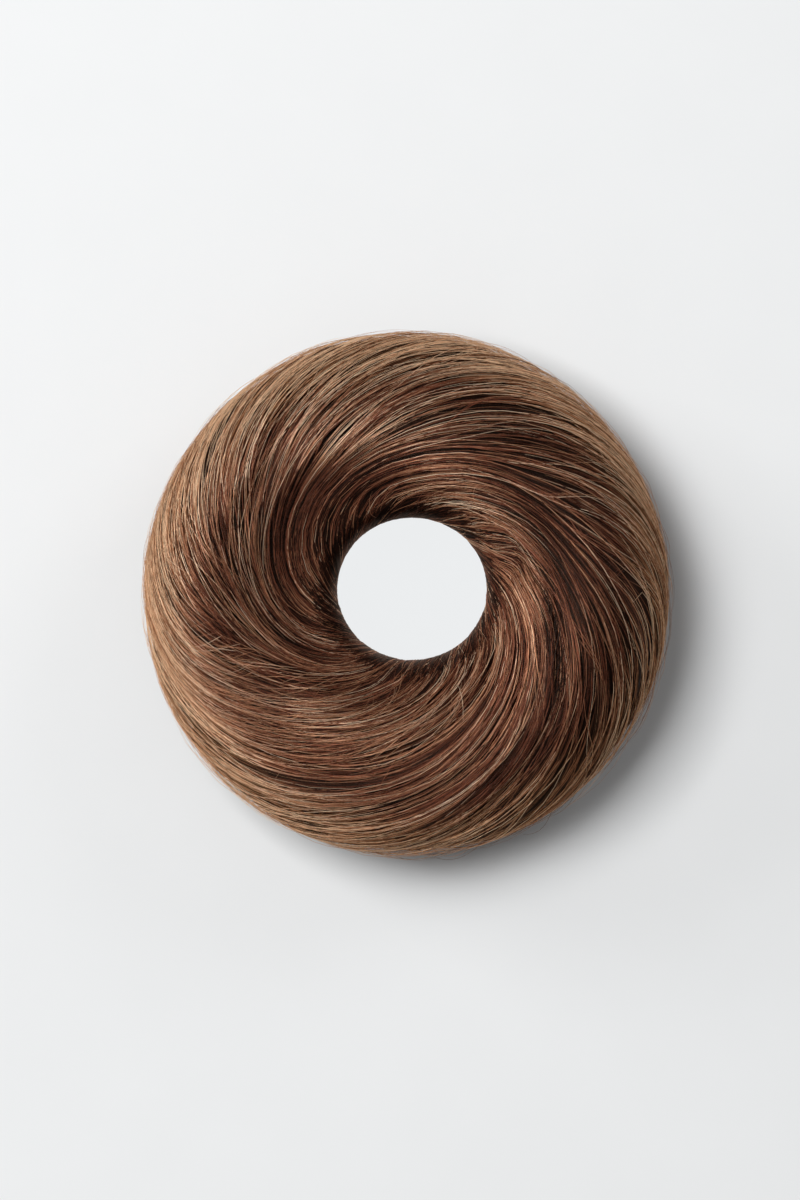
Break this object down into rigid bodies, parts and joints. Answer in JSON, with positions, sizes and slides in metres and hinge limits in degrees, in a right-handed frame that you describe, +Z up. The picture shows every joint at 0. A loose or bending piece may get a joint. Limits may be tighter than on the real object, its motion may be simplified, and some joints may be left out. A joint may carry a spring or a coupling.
{
  "type": "top knot ring hairpiece",
  "caption": "Ring of hair locks wound round a padded core, worn over a ponytail to make a full round bun.",
  "frame": {"origin": "middle of the ring, on the surface that it rests on", "axes": "+Z up along the ring's axis, +Y towards the top of the picture, +X towards its right"},
  "size_m": [0.1, 0.0997, 0.034],
  "materials": {
    "hair": "combed brown hair with copper and golden strands, satin sheen along the strands",
    "padding": "dark knitted padding, hidden under the hair"
  },
  "bodies": {
    "root": {"core_ring": "padding", "weft_1": "hair", "weft_2": "hair", "weft_3": "hair", "weft_4": "hair", "weft_5": "hair"}
  },
  "joints": []
}
